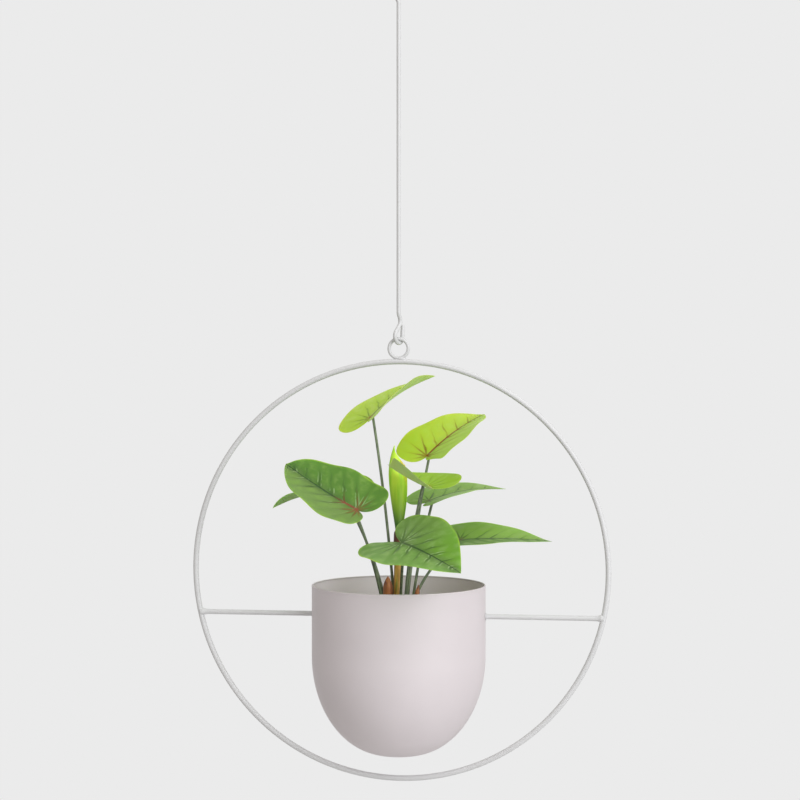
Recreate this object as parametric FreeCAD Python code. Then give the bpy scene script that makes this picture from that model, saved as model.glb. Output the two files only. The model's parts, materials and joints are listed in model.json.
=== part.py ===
import FreeCAD, Part
import math
import os
from collections import namedtuple

# Hanging planter: a sheet-metal pot turns on two bars inside a wire hoop. A ring on the hoop hangs
# in the lower eye of a stiff wire rod, and the rod's upper eye hangs on a screw hook.
# An artificial foliage plant stands in the pot, its stems stuck into a block of foam.
# The origin is where the hook's screw enters the ceiling. +Z is up, X runs along the bars and the
# front faces -Y. Lengths are in millimetres and angles in degrees.

Vector = FreeCAD.Vector
UP = Vector(0, 0, 1)
CENTRE = Vector(0, 0, 0)

# Screw hook
screw_diameter = 4.0
screw_length = 20.0
screw_point = 4.0
collar_diameter = 11.0
collar_thickness = 2.0
hook_wire = 3.5
hook_inside_radius = 8.0
hook_neck_length = 6.0
hook_neck_bend = 5.0
hook_tip_lift = 15.0

# Hanger rod, with an eye at each end
rod_wire = 3.0
rod_length = 270.0
eye_inside_width = 6.5
eye_neck = 5.6
eye_tail = 3.4
eye_kink = 3.2
eye_kink_length = 6.0
eye_bend = 5.0
lower_eye_turn = 25.0

# Hoop and the ring on top of it
hoop_diameter = 300.0
hoop_wire = 4.0
ring_outside = 16.4
ring_wire = 2.5
ring_weld_depth = 0.75

# Bars, with the washers and nuts that hold the pot on their stubs
bar_diameter = 3.6
stub_diameter = 3.0
stub_past_nut = 1.0
washer_diameter = 7.0
washer_thickness = 0.8
outer_washer_diameter = 5.2
outer_washer_thickness = 0.6
nut_across_flats = 5.5
nut_height = 2.4

# Pot
pot_diameter = 125.0
pot_height = 121.5
pot_straight = 51.0
pot_base_diameter = 20.0
pot_wall = 1.0
rim_above_bars = 22.0
pot_above_hoop = 16.0

# Filling
soil_below_rim = 34.0
soil_thickness = 6.0
root_depth = 14.0
sheath_depth = 3.0

# Plant; what is named a share is a share of the plant's height over the rim
plant_below_hoop = 8.5
stem_diameter = 2.0
leaf_thickness = 0.8
leaf_crease = 2.0
stem_seat = 3.0
stalk_foot_diameter = 6.4
stalk_top_diameter = 5.6
stalk_lean = (0.0, 0.120)
stalk_share = 0.253
rolled_leaf_share = 0.413
rolled_leaf_width_share = 0.093
rolled_leaf_belly = 0.62
rolled_leaf_tip_diameter = 1.4
rolled_leaf_wrap = 290.0
stalk_sheath_share = 0.12
stalk_sheath_wrap = 210.0
sheath_wall = 0.8

# Clearances
link_clearance = 0.3
running_clearance = 0.08
nut_clearance = 0.05
washer_clearance = 0.15
filling_clearance = 0.3
root_clearance = 0.1
seat_clearance = 0.1

# A leaf: where its stem roots, from the pot's axis in thicknesses of the stalk; then, in hundredths of
# the plant's height, where the stem meets the blade, measured from the middle of the rim, and how far
# the stem bows up from a straight line; which way the tip points, its rise and the blade's bank; the
# blade's length and half width, again in hundredths; how far the tip droops, the sides fold up and
# the blade twists, as shares of length, slopes and turns; the left and right lobes' lengths and how
# full the blade is towards its tip.
Leaf = namedtuple(
    "Leaf",
    "name root joint bow heading pitch roll length half_width droop fold twist lobes fullness",
)
LEAVES = [
    Leaf("top", root=(-0.31, 1.02), joint=(-15.67, 12.67, 79.33), bow=2.00,
         heading=47, pitch=41, roll=-12, length=44.00, half_width=20.67,
         droop=0.24, fold=0.25, twist=-0.10, lobes=(0.24, 0.10), fullness=0.64),
    Leaf("upper_right", root=(0.39, 0.94), joint=(12.33, 13.20, 61.00), bow=2.00,
         heading=41, pitch=40, roll=10, length=40.00, half_width=18.67,
         droop=0.18, fold=0.30, twist=-0.02, lobes=(0.18, 0.06), fullness=0.95),
    Leaf("left", root=(-0.86, -0.55), joint=(-15.00, -31.00, 37.33), bow=4.00,
         heading=163, pitch=24, roll=-25, length=42.00, half_width=19.33,
         droop=-0.11, fold=0.23, twist=-0.03, lobes=(0.16, 0.19), fullness=1.00),
    Leaf("far_left", root=(-0.86, 0.86), joint=(-27.67, 13.00, 41.00), bow=5.33,
         heading=168, pitch=14, roll=-14, length=38.67, half_width=18.67,
         droop=0.45, fold=0.33, twist=0.15, lobes=(0.21, 0.26), fullness=0.92),
    Leaf("middle", root=(0.62, -0.62), joint=(15.00, -16.33, 47.67), bow=4.00,
         heading=138, pitch=14, roll=7, length=30.00, half_width=15.33,
         droop=-0.08, fold=0.57, twist=0.49, lobes=(0.39, 0.40), fullness=0.00),
    Leaf("middle_right", root=(0.86, 0.78), joint=(13.33, 13.00, 39.00), bow=2.00,
         heading=29, pitch=20, roll=3, length=40.67, half_width=18.67,
         droop=0.23, fold=0.15, twist=0.00, lobes=(0.18, 0.15), fullness=0.94),
    Leaf("front", root=(0.23, -0.94), joint=(7.00, -38.00, 23.00), bow=8.00,
         heading=-47, pitch=-8, roll=26, length=42.67, half_width=20.67,
         droop=0.12, fold=0.17, twist=-0.16, lobes=(0.34, 0.38), fullness=0.42),
    Leaf("right", root=(1.02, 0.16), joint=(28.33, 11.33, 20.33), bow=9.00,
         heading=-3, pitch=5, roll=15, length=44.67, half_width=17.33,
         droop=0.09, fold=0.19, twist=-0.09, lobes=(0.30, 0.28), fullness=0.32),
]

# A leaf sheath that stands by itself: its root from the pot's axis, its tip from the middle of the rim
# and its width, all in thicknesses of the stalk.
Sheath = namedtuple("Sheath", "name root tip width")
SHEATHS = [
    Sheath("left", root=(-1.30, 0.23), tip=(-1.25, 0.16, 0.86), width=0.94),
    Sheath("right", root=(1.33, -0.31), tip=(2.27, 0.00, 0.00), width=0.50),
]
STALK_ROOT = (-0.23, 0.00)

# Heights that follow from the sizes above
hook_radius = hook_inside_radius + hook_wire / 2
hook_bend_drop = math.sqrt(hook_radius ** 2 + 2 * hook_radius * hook_neck_bend)
hook_centre_z = -collar_thickness - hook_neck_length - hook_bend_drop
hook_seat_z = hook_centre_z - hook_radius
upper_eye_z = hook_seat_z + (hook_wire + rod_wire) / 2 + link_clearance
lower_eye_z = upper_eye_z - (rod_length - rod_wire)
ring_radius = (ring_outside - ring_wire) / 2
ring_top_z = lower_eye_z + (rod_wire + ring_wire) / 2 + link_clearance
ring_z = ring_top_z - ring_radius
hoop_top_z = ring_z - ring_outside / 2 + ring_weld_depth - hoop_wire / 2
hoop_z = hoop_top_z - hoop_diameter / 2
rim_z = hoop_z - (hoop_diameter - hoop_wire) / 2 + pot_above_hoop + pot_height
bar_z = rim_z - rim_above_bars
bar_drop = hoop_z - bar_z
soil_z = rim_z - soil_below_rim
foam_z = soil_z - soil_thickness
plant_height = hoop_top_z - hoop_wire / 2 - plant_below_hoop - rim_z


def unit(vector):
    """The vector's direction, one millimetre long."""
    return Vector(vector).normalize()


def line(start, end):
    """A straight edge."""
    return Part.LineSegment(start, end).toShape()


def arc(start, middle, end):
    """A circular edge through three points."""
    return Part.Arc(start, middle, end).toShape()


def flat(radius, height):
    """A point of a turned profile, in the XZ plane."""
    return Vector(radius, 0, height)


def turned(edges, angle=360):
    """The solid that a closed profile in the XZ plane sweeps about the Z axis."""
    return Part.Face(Part.Wire(edges)).revolve(CENTRE, UP, angle)


def stood(shape, foot, direction):
    """A solid turned about Z, stood on its foot with its axis along a direction."""
    placed = shape.copy()
    placed.Placement = FreeCAD.Placement(foot, FreeCAD.Rotation(UP, direction))
    return placed


def round_wire(edges, diameter):
    """A round wire along tangent edges."""
    path = Part.Wire(edges)
    first = edges[0]
    start = first.valueAt(first.FirstParameter)
    along = first.tangentAt(first.FirstParameter)
    section = Part.Wire(Part.makeCircle(diameter / 2, start, along))
    return path.makePipeShell([section], True, False)


def bent_path(corners, radii):
    """Straight edges between corners, each inner corner rounded by its own radius."""
    edges = []
    start = corners[0]
    for before, corner, after, radius in zip(corners, corners[1:], corners[2:], radii):
        into = unit(corner - before)
        out = unit(after - corner)
        half_turn = into.getAngle(out) / 2
        setback = radius * math.tan(half_turn)
        first = corner - into * setback
        last = corner + out * setback
        middle = corner + unit(out - into) * (radius / math.cos(half_turn) - radius)
        if (first - start).Length > 1e-6:
            edges.append(line(start, first))
        edges.append(arc(first, middle, last))
        start = last
    edges.append(line(start, corners[-1]))
    return edges


def make_ceiling_hook():
    """Screw, collar and question-mark hook, bent in the YZ plane and open to the front."""
    def on_hook(degrees):
        turn = math.radians(degrees)
        return Vector(0, hook_radius * math.cos(turn), hook_centre_z + hook_radius * math.sin(turn))

    neck_top = Vector(0, 0, -collar_thickness)
    neck_end = Vector(0, 0, hook_centre_z + hook_bend_drop)
    neck_centre = neck_end + Vector(0, hook_neck_bend, 0)
    leave = math.degrees(math.atan2(hook_bend_drop, hook_neck_bend))
    tip_angle = -180.0 - hook_tip_lift
    half_turn = math.radians(180 + leave / 2)
    to_middle = Vector(0, math.cos(half_turn), math.sin(half_turn))
    neck_middle = neck_centre + to_middle * hook_neck_bend
    edges = [
        line(neck_top, neck_end),
        arc(neck_end, neck_middle, on_hook(leave)),
        arc(on_hook(leave), on_hook((leave + tip_angle) / 2), on_hook(tip_angle)),
    ]
    wire = round_wire(edges, hook_wire)
    tip = Part.makeSphere(hook_wire / 2, on_hook(tip_angle))
    collar = Part.makeCylinder(collar_diameter / 2, collar_thickness, Vector(0, 0, -collar_thickness))
    shank_length = screw_length - screw_point
    shank = Part.makeCylinder(screw_diameter / 2, shank_length)
    point = Part.makeCone(screw_diameter / 2, screw_diameter / 8, screw_point, UP * shank_length)
    return collar.fuse([shank, point, wire, tip]).removeSplitter()


def eye_corners():
    """Corners of an eye in its own plane, as side step and height above its outermost wire centre.

    The wire steps aside, slants down to one side of the eye, goes round it and ends against itself.
    """
    radius = (eye_inside_width + rod_wire) / 2

    def foot_of_tangent(side, height):
        a = 2 * radius - height
        b = 2 * radius * side
        c = height * radius ** 2
        return (-b - math.sqrt(b * b - 4 * a * c)) / (2 * a)

    kink_height = 2 * radius + eye_neck
    left = foot_of_tangent(eye_kink, kink_height)
    slant = math.atan2(eye_kink + left, kink_height)
    tail_height = 2 * radius + eye_tail
    strand = eye_kink - (kink_height - tail_height) * math.tan(slant)
    tail = strand + (rod_wire + link_clearance) / math.cos(slant)
    right = foot_of_tangent(-tail, tail_height)
    corners = [
        (0, kink_height + eye_kink_length),
        (eye_kink, kink_height),
        (-left, 0),
        (right, 0),
        (tail, tail_height),
    ]
    return corners, [eye_bend, eye_bend, radius, radius]


def make_hanger_rod():
    """One wire with a teardrop eye at each end, the upper eye square to the hook's wire."""
    corners, radii = eye_corners()
    turn = math.radians(lower_eye_turn)
    lower_side = Vector(math.sin(turn), math.cos(turn), 0)
    upper_side = Vector(-1, 0, 0)
    lower = [lower_side * side + Vector(0, 0, lower_eye_z + height) for side, height in corners]
    upper = [upper_side * side + Vector(0, 0, upper_eye_z - height) for side, height in corners]
    return round_wire(bent_path(upper[::-1] + lower, radii[::-1] + radii), rod_wire)


def make_hoop():
    """Round wire hoop in the XZ plane."""
    return Part.makeTorus(hoop_diameter / 2, hoop_wire / 2, Vector(0, 0, hoop_z), Vector(0, 1, 0))


def make_top_ring(hoop):
    """Small wire ring in the hoop's plane, sunk a little into the weld on the hoop."""
    ring = Part.makeTorus(ring_radius, ring_wire / 2, Vector(0, 0, ring_z), Vector(0, 1, 0))
    return ring.cut(hoop)


# Stations along a bar, outwards from the pot's axis
pot_radius = pot_diameter / 2
washer_sag = (washer_diameter / 2) ** 2 / pot_diameter
outer_washer_x = pot_radius + washer_clearance
shoulder_x = outer_washer_x + outer_washer_thickness
inner_washer_x = pot_radius - pot_wall - washer_sag - washer_clearance - washer_thickness
nut_x = inner_washer_x - nut_height
stub_end_x = nut_x - stub_past_nut


def on_bar(x):
    """A point on the bars' axis."""
    return Vector(x, 0, bar_z)


def mirrored(shape):
    """The same shape on the pot's other side."""
    return shape.mirror(CENTRE, Vector(1, 0, 0))


def make_right_bar(hoop):
    """Straight bar coped to the hoop's wire, with a thinner stub through the pot's wall."""
    along = Vector(1, 0, 0)
    reach = math.sqrt((hoop_diameter / 2) ** 2 - bar_drop ** 2)
    bar = Part.makeCylinder(bar_diameter / 2, reach - shoulder_x, on_bar(shoulder_x), along)
    stub = Part.makeCylinder(stub_diameter / 2, shoulder_x - stub_end_x, on_bar(stub_end_x), along)
    return bar.cut(hoop).fuse(stub).removeSplitter()


def washer_at(x, diameter, thickness):
    """A flat washer round the stub."""
    along = Vector(1, 0, 0)
    bore = stub_diameter / 2 + nut_clearance
    disc = Part.makeCylinder(diameter / 2, thickness, on_bar(x), along)
    return disc.cut(Part.makeCylinder(bore, thickness, on_bar(x), along))


def make_right_nut():
    """Hexagon nut on the stub's thread."""
    along = Vector(1, 0, 0)
    corner_radius = nut_across_flats / math.sqrt(3)
    turns = [math.radians(60 * corner) for corner in range(7)]
    corners = [on_bar(nut_x) + Vector(0, math.cos(t), math.sin(t)) * corner_radius for t in turns]
    hexagon = Part.Face(Part.makePolygon(corners)).extrude(along * nut_height)
    bore = Part.makeCylinder(stub_diameter / 2 + nut_clearance, nut_height, on_bar(nut_x), along)
    return hexagon.cut(bore)


def pair(shape):
    """A right-hand piece and its mirror image, as two separate solids."""
    return Part.makeCompound([shape, mirrored(shape)])


def bowl_edges(inset):
    """The pot's outside line from the axis to the rim, moved in by an inset all round."""
    side = pot_radius - inset
    base = pot_base_diameter / 2
    low = rim_z - pot_height + inset
    shoulder = rim_z - pot_straight
    curve = Part.BezierCurve()
    curve.setPoles([flat(base, low), flat(side, low), flat(side, shoulder)])
    curve.setWeight(2, math.sqrt(0.5))
    return [line(flat(0, low), flat(base, low)), curve.toShape(), shoulder, side, low]


def make_pot():
    """Drawn pot: straight wall, elliptical bowl, small flat base, rounded lip and two stub holes."""
    outer_base, outer_bowl, shoulder, outer, outer_low = bowl_edges(0)
    inner_base, inner_bowl, shoulder, inner, inner_low = bowl_edges(pot_wall)
    lip_z = rim_z - pot_wall / 2
    lip = arc(flat(outer, lip_z), flat(outer - pot_wall / 2, rim_z), flat(inner, lip_z))
    shell = turned([
        outer_base, outer_bowl, line(flat(outer, shoulder), flat(outer, lip_z)), lip,
        line(flat(inner, lip_z), flat(inner, shoulder)), inner_bowl, inner_base,
        line(flat(0, inner_low), flat(0, outer_low)),
    ])
    hole_radius = stub_diameter / 2 + running_clearance
    drill = Part.makeCylinder(hole_radius, pot_diameter, on_bar(-pot_radius), Vector(1, 0, 0))
    return shell.cut(drill)


def filling(bottom, top):
    """What fills the pot between two heights, clear of its wall."""
    base, bowl, shoulder, side, low = bowl_edges(pot_wall + filling_clearance)
    inside = turned([
        base, bowl, line(flat(side, shoulder), flat(side, rim_z)),
        line(flat(side, rim_z), flat(0, rim_z)), line(flat(0, rim_z), flat(0, low)),
    ])
    slab = Part.makeCylinder(pot_radius, top - bottom, Vector(0, 0, bottom))
    return inside.common(slab)


def grown(hundredths):
    """A length of the plant, from hundredths of its height."""
    return hundredths * plant_height / 100


def leaf_joint(leaf):
    """Where a stem meets its blade."""
    x, y, z = leaf.joint
    return Vector(grown(x), grown(y), rim_z + grown(z))


def at_root(root, z):
    """A point over a root, which is given in thicknesses of the stalk."""
    return Vector(root[0] * stalk_foot_diameter, root[1] * stalk_foot_diameter, z)


def blade_axes(leaf):
    """A blade's directions along its midrib, across it to the left, and up out of its face."""
    heading = math.radians(leaf.heading)
    pitch = math.radians(leaf.pitch)
    roll = math.radians(leaf.roll)
    level = Vector(math.cos(heading), math.sin(heading), 0)
    along = level * math.cos(pitch) + UP * math.sin(pitch)
    left = Vector(-math.sin(heading), math.cos(heading), 0)
    face = along.cross(left)
    across = left * math.cos(roll) + face * math.sin(roll)
    return along, across, along.cross(across)


def blade_point(leaf, u, v):
    """A point of the blade's underside, u along the midrib and v across it.

    The tip droops with the square of u, the sides fold up on a rounded crease, and the blade twists.
    """
    along, across, face = blade_axes(leaf)
    length = grown(leaf.length)
    droop = -leaf.droop * u * u / length
    fold = leaf.fold * (math.hypot(v, leaf_crease) - leaf_crease)
    twist = leaf.twist * u * v / length
    return leaf_joint(leaf) + along * u + across * v + face * (droop + fold + twist)


def blade_sheet(leaf):
    """A curved patch that the blade is cut from."""
    steps = 8
    margin = leaf_crease
    back = -max(leaf.lobes) * grown(leaf.length) - margin
    front = grown(leaf.length) + margin
    side = grown(leaf.half_width) + margin
    rows = [
        [
            blade_point(leaf, back + (front - back) * i / steps, side * (2 * j / steps - 1))
            for j in range(steps + 1)
        ]
        for i in range(steps + 1)
    ]
    patch = Part.BSplineSurface()
    patch.interpolate(rows)
    return patch.toShape()


def blade_outline(leaf):
    """Heart-shaped outline: from the tip to the widest place, round a lobe and in to the stem."""
    along, across, face = blade_axes(leaf)
    full = leaf.fullness
    length = grown(leaf.length)
    half_width = grown(leaf.half_width)
    below = leaf_joint(leaf) - face * length

    def half_outline(side, lobe):
        poles = [
            [(1, 0), (0.78 + 0.12 * full, 0.10 + 0.40 * full), (0.46 + 0.20 * full, 1), (0.12, 1)],
            [(0.12, 1), (-0.12, 1), (-lobe, 0.85), (-lobe, 0.48)],
            [(-lobe, 0.48), (-lobe, 0.20), (-0.10, 0.03), (0, 0)],
        ]
        edges = []
        for curve_poles in poles:
            curve = Part.BezierCurve()
            curve.setPoles([
                below + along * (u * length) + across * (side * v * half_width)
                for u, v in curve_poles
            ])
            edges.append(curve.toShape())
        return edges

    left_lobe, right_lobe = leaf.lobes
    return Part.Wire(half_outline(1, left_lobe) + half_outline(-1, right_lobe)[::-1])


def make_blade(leaf):
    """Thin blade: the curved patch trimmed to the heart shape, given its thickness upwards."""
    face = blade_axes(leaf)[2]
    prism = Part.Face(blade_outline(leaf)).extrude(face * (2 * grown(leaf.length)))
    trimmed = blade_sheet(leaf).common(prism)
    return trimmed.Faces[0].extrude(face * leaf_thickness)


def stem_curve(leaf):
    """The bowed line of a stem, from inside the foam to just past the blade's underside."""
    face = blade_axes(leaf)[2]
    start = at_root(leaf.root, soil_z - root_depth)
    end = blade_point(leaf, stem_seat, 0) + face * (stem_diameter / 2)
    chord = unit(end - start)
    outward = unit(UP - chord * UP.dot(chord))
    return arc(start, (start + end) / 2 + outward * grown(leaf.bow), end)


def make_stem(leaf):
    """Round stem, trimmed to seat against the blade's underside."""
    face = blade_axes(leaf)[2]
    above = blade_sheet(leaf).extrude(face * (2 * stem_diameter))
    above.translate(face * -seat_clearance)
    pieces = round_wire([stem_curve(leaf)], stem_diameter).cut(above).Solids
    return min(pieces, key=lambda piece: piece.BoundBox.ZMin)


stalk_direction = unit(Vector(stalk_lean[0], stalk_lean[1], 1))
stalk_foot = at_root(STALK_ROOT, soil_z - root_depth)
stalk_length = (rim_z + stalk_share * plant_height - stalk_foot.z) / stalk_direction.z
stalk_top = stalk_foot + stalk_direction * stalk_length


def make_stalk(allowance=0):
    """Thick middle stalk, a little thinner at the top."""
    foot = stalk_foot_diameter / 2 + allowance
    top = stalk_top_diameter / 2 + allowance
    return Part.makeCone(foot, top, stalk_length, stalk_foot, stalk_direction)


def make_rolled_leaf():
    """Young leaf still rolled into an open spindle, standing on the end of the stalk."""
    length = rolled_leaf_share * plant_height
    foot = stalk_top_diameter / 2
    belly = rolled_leaf_width_share * plant_height / 2
    belly_height = rolled_leaf_belly * length
    tip = rolled_leaf_tip_diameter / 2
    tip_wall = 3 * leaf_thickness

    def side(inset, end):
        curve = Part.BSplineCurve()
        curve.interpolate([flat(foot - inset, 0), flat(belly - inset, belly_height), end])
        return curve.toShape()

    outer_top = flat(tip, length)
    inner_top = flat(tip / 2, length - tip_wall)
    rolled = turned([
        side(0, outer_top), line(outer_top, inner_top), side(leaf_thickness, inner_top),
        line(flat(foot - leaf_thickness, 0), flat(foot, 0)),
    ], rolled_leaf_wrap)
    return stood(rolled, stalk_top, stalk_direction)


def make_stalk_sheath():
    """Dry sheath wrapped part way round the stalk below the rolled leaf."""
    height = stalk_sheath_share * plant_height
    taper = (stalk_foot_diameter - stalk_top_diameter) / 2 * height / stalk_length
    top = stalk_top_diameter / 2 + seat_clearance
    foot = top + taper
    sheath = turned([
        line(flat(foot, 0), flat(foot + sheath_wall, 0)),
        line(flat(foot + sheath_wall, 0), flat(top + sheath_wall / 3, height)),
        line(flat(top + sheath_wall / 3, height), flat(top, height)),
        line(flat(top, height), flat(foot, 0)),
    ], stalk_sheath_wrap)
    sheath.rotate(CENTRE, UP, 180 - (stalk_sheath_wrap - 180) / 2)
    return stood(sheath, stalk_top - stalk_direction * height, stalk_direction)


def make_sheath(sheath, allowance=0):
    """Slender pointed sheath that swells a little above its foot."""
    foot = at_root(sheath.root, soil_z - sheath_depth)
    tip = at_root(sheath.tip, rim_z + sheath.tip[2] * stalk_foot_diameter)
    height = (tip - foot).Length
    radius = sheath.width * stalk_foot_diameter / 2 + allowance
    side = arc(flat(0.8 * radius, 0), flat(radius, 0.4 * height), flat(0.1 * radius, height))
    spindle = turned([
        line(flat(0, 0), flat(0.8 * radius, 0)), side,
        line(flat(0.1 * radius, height), flat(0, height)), line(flat(0, height), flat(0, 0)),
    ])
    return stood(spindle, foot, unit(tip - foot))


def make_parts():
    """Every piece by its name."""
    hoop = make_hoop()
    right_bar = make_right_bar(hoop)
    parts = {
        "ceiling_hook": make_ceiling_hook(),
        "hanger_rod": make_hanger_rod(),
        "hoop": hoop,
        "top_ring": make_top_ring(hoop),
        "right_bar": right_bar,
        "left_bar": mirrored(right_bar),
        "outer_washers": pair(washer_at(outer_washer_x, outer_washer_diameter, outer_washer_thickness)),
        "inner_washers": pair(washer_at(inner_washer_x, washer_diameter, washer_thickness)),
        "pot_nuts": pair(make_right_nut()),
        "pot": make_pot(),
        "stalk": make_stalk(),
        "rolled_leaf": make_rolled_leaf(),
        "stalk_sheath": make_stalk_sheath(),
    }
    holes = [make_stalk(root_clearance)]
    for sheath in SHEATHS:
        parts[sheath.name + "_sheath"] = make_sheath(sheath)
        holes.append(make_sheath(sheath, root_clearance))
    for leaf in LEAVES:
        parts[leaf.name + "_leaf"] = make_blade(leaf)
        parts[leaf.name + "_stem"] = make_stem(leaf)
        holes.append(round_wire([stem_curve(leaf)], stem_diameter + 2 * root_clearance))
    parts["foam_plug"] = filling(rim_z - pot_height, foam_z).cut(holes)
    parts["soil_topping"] = filling(foam_z, soil_z).cut(holes)
    return parts


os.makedirs("parts", exist_ok=True)
for name, shape in make_parts().items():
    if not shape.isValid():
        print("not valid:", name)
    shape.exportStep("parts/" + name + ".step")
    print(name, len(shape.Solids), "solid,", round(shape.Volume, 1), "cubic mm")
print("hook seat", round(hook_seat_z, 3), "ring top", round(ring_top_z, 3))
print("hoop centre", round(hoop_z, 3), "bars", round(bar_z, 3), "rim", round(rim_z, 3))
print("plant height", round(plant_height, 3))
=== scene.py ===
# %% [markdown]
# # A pot in a wire hoop
# A drawn metal pot turns on two bars inside a wire hoop. A small ring on the hoop hangs in the eye of
# a stiff bent wire, and the wire's other eye hangs on a screw hook. A small foliage plant fills the pot.
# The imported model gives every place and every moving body. This notebook lays smooth, finished
# surfaces over it, piece by piece, so what is seen moves just as the model moves.

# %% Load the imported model
import json
import math
from collections import namedtuple

import bmesh
import bpy
import numpy as np
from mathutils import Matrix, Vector


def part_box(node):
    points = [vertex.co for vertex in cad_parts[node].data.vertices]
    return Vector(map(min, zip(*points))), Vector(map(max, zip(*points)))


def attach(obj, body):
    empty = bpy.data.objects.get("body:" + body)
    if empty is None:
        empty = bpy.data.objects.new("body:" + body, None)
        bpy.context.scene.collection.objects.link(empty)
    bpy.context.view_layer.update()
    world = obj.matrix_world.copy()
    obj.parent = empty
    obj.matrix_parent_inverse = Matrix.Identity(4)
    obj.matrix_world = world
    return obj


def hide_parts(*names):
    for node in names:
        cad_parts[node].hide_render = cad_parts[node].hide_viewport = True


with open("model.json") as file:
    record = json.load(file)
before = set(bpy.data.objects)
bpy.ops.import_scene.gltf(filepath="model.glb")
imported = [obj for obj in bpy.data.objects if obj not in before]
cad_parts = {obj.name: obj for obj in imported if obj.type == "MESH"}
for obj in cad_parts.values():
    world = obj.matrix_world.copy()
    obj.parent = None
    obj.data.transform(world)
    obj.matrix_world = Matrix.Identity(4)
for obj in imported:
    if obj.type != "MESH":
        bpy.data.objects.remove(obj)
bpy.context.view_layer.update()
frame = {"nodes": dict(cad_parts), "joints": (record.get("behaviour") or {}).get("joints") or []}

# %% [markdown]
# ## Sizes from the frame
# Each turned or bent piece is measured on its own node, in millimetres, and the joints give the
# heights at which one piece hangs in another. Sizes could be typed in again, but read from the frame
# they follow the model when it changes.

# %% Heights and sizes
MM = 0.001


def node_box(node):
    """Lowest and highest corner of a node, in millimetres."""
    low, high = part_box(node)
    return np.array(low) / MM, np.array(high) / MM


joint_z = {joint["name"]: joint["pos_m"][2] / MM for joint in frame["joints"]}
hook_seat_z = joint_z["rod_swing"]
ring_top_z = joint_z["hoop_swing"]
bar_z = joint_z["pot_tilt"]

hoop_low, hoop_high = node_box("hoop")
hoop_wire = hoop_high[1] - hoop_low[1]
hoop_z = (hoop_low[2] + hoop_high[2]) / 2
hoop_radius = (hoop_high[2] - hoop_low[2] - hoop_wire) / 2
pot_low, pot_high = node_box("pot")
pot_radius = (pot_high[0] - pot_low[0]) / 2
rim_z = pot_high[2]
soil_low, soil_high = node_box("soil_topping")
soil_z = soil_high[2]
plant_below_hoop = 8.5
plant_height = hoop_high[2] - hoop_wire - plant_below_hoop - rim_z
print("hoop radius", round(hoop_radius, 2), "pot radius", round(pot_radius, 2))
print("rim at", round(rim_z, 2), "plant height", round(plant_height, 2))

# %% [markdown]
# ## Surfaces from two parameters
# Wire, turned metal and leaves are all surfaces of two parameters: along and around. Each is worked
# out as one array of points in rows and columns, the columns closing on themselves. Bevelled curves
# and spins could make some of them, but one way for all keeps the notebook short. Points that fall
# together at a pole or a seam are welded, so every piece is a closed skin.

# %% Build a mesh from rows and columns
weld_distance = 0.0001


def unit(vectors):
    """Vectors of length one in the same directions."""
    return vectors / np.linalg.norm(vectors, axis=-1, keepdims=True)


def round_faces(rows, columns):
    """Four corners of each face of a grid whose last column meets its first."""
    row, column = np.meshgrid(np.arange(rows - 1), np.arange(columns), indexing="ij")
    after = (column + 1) % columns
    corners = [row * columns + column, row * columns + after]
    corners += [(row + 1) * columns + after, (row + 1) * columns + column]
    return np.stack(corners, axis=-1).reshape(-1, 4)


def add_piece(name, grids, body, material, nodes=(), marks=None, uv=None, sharp=40):
    """A piece from grids of points in millimetres; marks are numbers by name for each point."""
    points = np.concatenate([grid.reshape(-1, 3) for grid in grids])
    starts = np.cumsum([0] + [grid.shape[0] * grid.shape[1] for grid in grids])
    faces = np.concatenate([round_faces(*grid.shape[:2]) + start for grid, start in zip(grids, starts)])
    mesh = bpy.data.meshes.new(name)
    mesh.from_pydata((points * MM).tolist(), [], faces.tolist())
    for mark, values in (marks or {}).items():
        layer = mesh.attributes.new(mark, "FLOAT", "POINT")
        layer.data.foreach_set("value", np.ravel(values).astype(np.float32))
    if uv is not None:
        corner_points = np.empty(len(mesh.loops), np.int32)
        mesh.loops.foreach_get("vertex_index", corner_points)
        layer = mesh.uv_layers.new(name="blade")
        layer.data.foreach_set("uv", np.ravel(uv.reshape(-1, 2)[corner_points]).astype(np.float32))
    shell = bmesh.new()
    shell.from_mesh(mesh)
    bmesh.ops.remove_doubles(shell, verts=shell.verts, dist=weld_distance * MM)
    bmesh.ops.recalc_face_normals(shell, faces=shell.faces)
    shell.to_mesh(mesh)
    shell.free()
    mesh.shade_smooth()
    mesh.set_sharp_from_angle(angle=math.radians(sharp))
    mesh.materials.append(material)
    piece = bpy.data.objects.new(name, mesh)
    bpy.context.scene.collection.objects.link(piece)
    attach(piece, body)
    if nodes:
        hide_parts(*nodes)
    print(name, len(mesh.polygons), "faces")
    return piece


print("a grid of 3 rows and 8 columns has", len(round_faces(3, 8)), "faces")


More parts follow.
